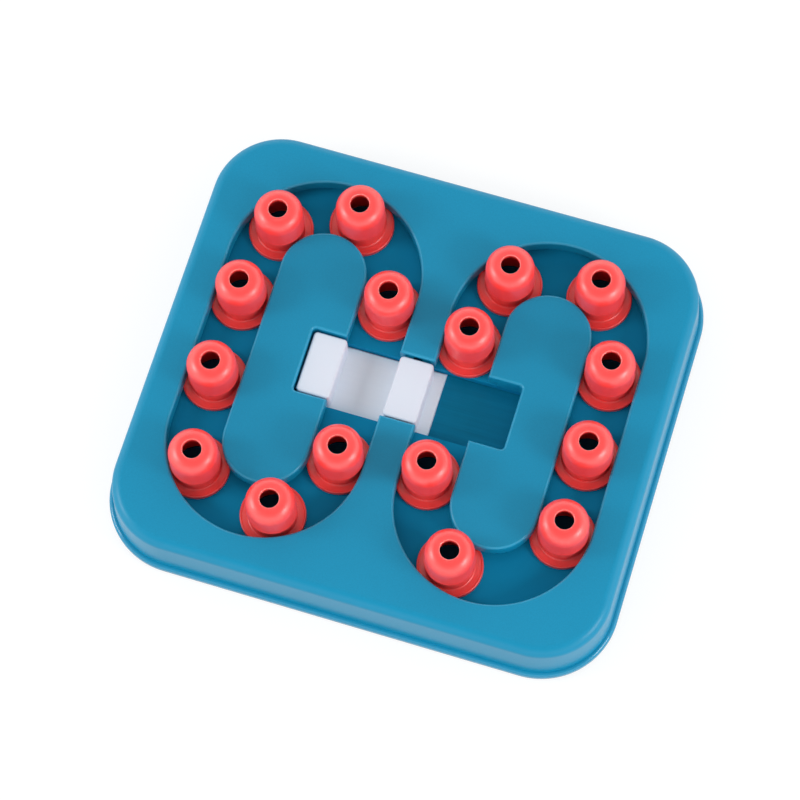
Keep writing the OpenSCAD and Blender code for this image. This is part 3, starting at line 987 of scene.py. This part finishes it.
class FEEDER_OT_fasteners(bpy.types.Operator):
    """Models the pan head screws with their cross recesses"""

    bl_idname = "feeder.fasteners"
    bl_label = "Screws"

    def execute(self, context):
        f = context.scene.feeder_fasteners
        low, high = SCREWS_LOW.z, SCREWS_HIGH.z
        seat = low + f.head_height
        # The pan of the head, in mm in from its rim and up from its face, and the point of the shank.
        pan = ((0.9, 0), (0.35, 0.2), (0.05, 0.7), (0, 1.2))
        tip_radius, tip_height = f.shank / 2, MM
        master = turned("screw_master", [
            *((f.head - inwards * MM, low + up * MM) for inwards, up in pan), (f.head, seat),
            (f.shank, seat), (f.shank, high - tip_height), (tip_radius, high),
        ], count=32, closed=False)
        # Width and depth of the cross recess.
        wide, deep = 0.7 * MM, 1.1 * MM
        for size in ((wide, f.recess), (f.recess, wide)):
            cut(master, rounded_block("recess", size, 0, low + deep, [(0, 0.3 * MM), (0, PAST)],
                                      downwards=True))
        material = finish_named("Zinc plated steel")
        for node, places in (
            ("cover_screws", cover_screw_places(f)),
            ("island_screws", corners_of(ISLAND_SCREWS_HIGH, f.head)),
        ):
            screws = joined(node + "_set", [copy_to(master, "screw", (x, y, 0)) for x, y in places])
            finish_piece(screws, material, BOARD_BODY, [node])
        bpy.data.objects.remove(master, do_unlink=True)
        return {"FINISHED"}


class FEEDER_OT_feet(bpy.types.Operator):
    """Models the four rubber feet with rounded, slightly hollow soles"""

    bl_idname = "feeder.feet"
    bl_label = "Feet"

    def execute(self, context):
        f = context.scene.feeder_fasteners
        low, high = FEET_LOW.z, FEET_HIGH.z
        # Rounding of the sole, the inner and outer end of its ring, and the hollow inside that.
        edge, inner, outer, hollow = 0.6 * MM, 1.6 * MM, 1.2 * MM, 0.15 * MM
        profile = [(f.foot - inner, low + hollow), (f.foot - outer, low)]
        profile += arc(f.foot - edge, low + edge, edge, -90, 0, 6) + [(f.foot, high)]
        master = turned("foot_master", profile, count=64, closed=False)
        feet = joined("rubber_feet_set", [
            copy_to(master, "foot", (x, y, 0)) for x, y in corners_of(FEET_HIGH, f.foot)
        ])
        finish_piece(feet, finish_named("Foot rubber"), BOARD_BODY, ["rubber_feet"])
        bpy.data.objects.remove(master, do_unlink=True)
        return {"FINISHED"}


class FEEDER_OT_stage(bpy.types.Operator):
    """Sets up the white floor, the soft light and the camera at the photograph's angle"""

    bl_idname = "feeder.stage"
    bl_label = "Stage"

    def execute(self, context):
        scene = context.scene
        s = scene.feeder_stage
        scene.view_settings.view_transform = "Standard"

        deselect()
        bpy.ops.mesh.primitive_plane_add(size=6.0, location=(0, 0, 0))
        floor = context.object
        floor.name = "studio_floor"
        floor.data.materials.append(white_floor("White floor"))

        scene.world = white_world("White studio", s.sky, s.zenith)

        # The point that the camera looks at, on the track floor near the board's middle.
        aim = Vector((-3.12 * MM, -3.61 * MM, FLOOR_Z))
        # Softboxes by power, place and side.
        for name, power, place, size in (
            ("Left softbox", s.left_softbox, (-0.92, -0.32, 0.62), 0.36),
            ("Right softbox", s.right_softbox, (0.99, -0.21, 0.60), 0.36),
            ("Top softbox", s.top_softbox, (-0.12, 0.29, 1.15), 0.25),
        ):
            deselect()
            bpy.ops.object.light_add(type="AREA", location=place)
            lamp = context.object
            lamp.name = name
            lamp.data.shape = "SQUARE"
            lamp.data.size = size
            lamp.data.energy = power
            lamp.rotation_euler = (aim - Vector(place)).to_track_quat("-Z", "Y").to_euler()

        out = Vector((
            math.sin(s.turn) * math.cos(s.height),
            -math.cos(s.turn) * math.cos(s.height),
            math.sin(s.height),
        ))
        deselect()
        bpy.ops.object.camera_add(location=aim + s.distance * out)
        camera = context.object
        camera.name = "Photo camera"
        camera.data.sensor_width = 36.0
        camera.data.lens = s.focal
        camera.data.clip_start = 0.05
        camera.data.clip_end = 20.0
        look = (-out).to_track_quat("-Z", "Y")
        camera.rotation_euler = (look @ Quaternion((0, 0, 1), -s.roll)).to_euler()
        scene.camera = camera
        return {"FINISHED"}


def background_ray(tree):
    """1 for rays that see the background directly or in a gloss or through glass."""
    path = add_node(tree, "ShaderNodeLightPath").outputs
    direct = math_node(tree, "MAXIMUM", path["Is Camera Ray"], path["Is Glossy Ray"])
    return math_node(tree, "MAXIMUM", direct, path["Is Transmission Ray"])


def white_floor(name):
    """Matt white paper floor that the camera sees as near white, with a soft contact shadow."""
    # The paper itself is grey, so that it throws little light up on the board's walls.
    material, tree, output, _ = new_material(name)
    paper = add_node(tree, "ShaderNodeBsdfDiffuse", {"Color": (0.3, 0.3, 0.3, 1)})
    glow = add_node(tree, "ShaderNodeEmission", {"Color": (1, 1, 1, 1), "Strength": 0.75})
    both = add_node(tree, "ShaderNodeAddShader", {}, {0: paper.outputs[0], 1: glow.outputs[0]})
    mix = add_node(tree, "ShaderNodeMixShader", {}, {
        0: background_ray(tree), 1: paper.outputs[0], 2: both.outputs[0],
    })
    tree.links.new(mix.outputs[0], output.inputs["Surface"])
    return material


def white_world(name, sky, zenith):
    """Soft studio light, brightest at the horizon and dimmer overhead."""
    world = bpy.data.worlds.new(name)
    world.use_nodes = True
    tree = world.node_tree
    tree.nodes.clear()
    direction = add_node(tree, "ShaderNodeTexCoord").outputs["Generated"]
    rise = add_node(tree, "ShaderNodeSeparateXYZ", {}, {"Vector": direction})
    # It dims from just above the horizon to almost overhead.
    strength = add_node(tree, "ShaderNodeMapRange", {
        "interpolation_type": "SMOOTHSTEP", "From Min": 0.1, "From Max": 0.95,
        "To Min": sky, "To Max": sky * zenith,
    }, {"Value": rise.outputs["Z"]})
    light = add_node(tree, "ShaderNodeBackground", {"Color": (1, 1, 1, 1)},
                     {"Strength": strength.outputs["Result"]})
    output = add_node(tree, "ShaderNodeOutputWorld")
    tree.links.new(light.outputs[0], output.inputs["Surface"])
    return world


class FEEDER_PT_panel(bpy.types.Panel):
    """Lists the steps that build the feeder"""

    bl_label = "Puzzle feeder"
    bl_idname = "FEEDER_PT_panel"
    bl_space_type = "VIEW_3D"
    bl_region_type = "UI"
    bl_category = "Feeder"

    def draw(self, context):
        for step in STEPS:
            self.layout.operator(step.bl_idname, text=step.bl_label)


GROUPS = {
    "feeder_board": BoardSizes,
    "feeder_slider": SliderSizes,
    "feeder_pegs": PegSizes,
    "feeder_fasteners": FastenerSizes,
    "feeder_finishes": Finishes,
    "feeder_stage": StageSettings,
}
STEPS = (
    FEEDER_OT_cover,
    FEEDER_OT_islands,
    FEEDER_OT_track_plate,
    FEEDER_OT_base,
    FEEDER_OT_slider,
    FEEDER_OT_pegs,
    FEEDER_OT_fasteners,
    FEEDER_OT_feet,
    FEEDER_OT_stage,
)


def register():
    for cls in (*GROUPS.values(), *STEPS, FEEDER_PT_panel):
        bpy.utils.register_class(cls)
    for name, cls in GROUPS.items():
        setattr(bpy.types.Scene, name, bpy.props.PointerProperty(type=cls))


def unregister():
    for name in GROUPS:
        delattr(bpy.types.Scene, name)
    for cls in reversed((*GROUPS.values(), *STEPS, FEEDER_PT_panel)):
        bpy.utils.unregister_class(cls)


def main():
    register()
    bpy.ops.feeder.cover()
    bpy.ops.feeder.islands()
    bpy.ops.feeder.track_plate()
    bpy.ops.feeder.base()
    bpy.ops.feeder.slider()
    bpy.ops.feeder.pegs()
    bpy.ops.feeder.fasteners()
    bpy.ops.feeder.feet()
    bpy.ops.feeder.stage()
    deselect()


if __name__ == "__main__":
    main()
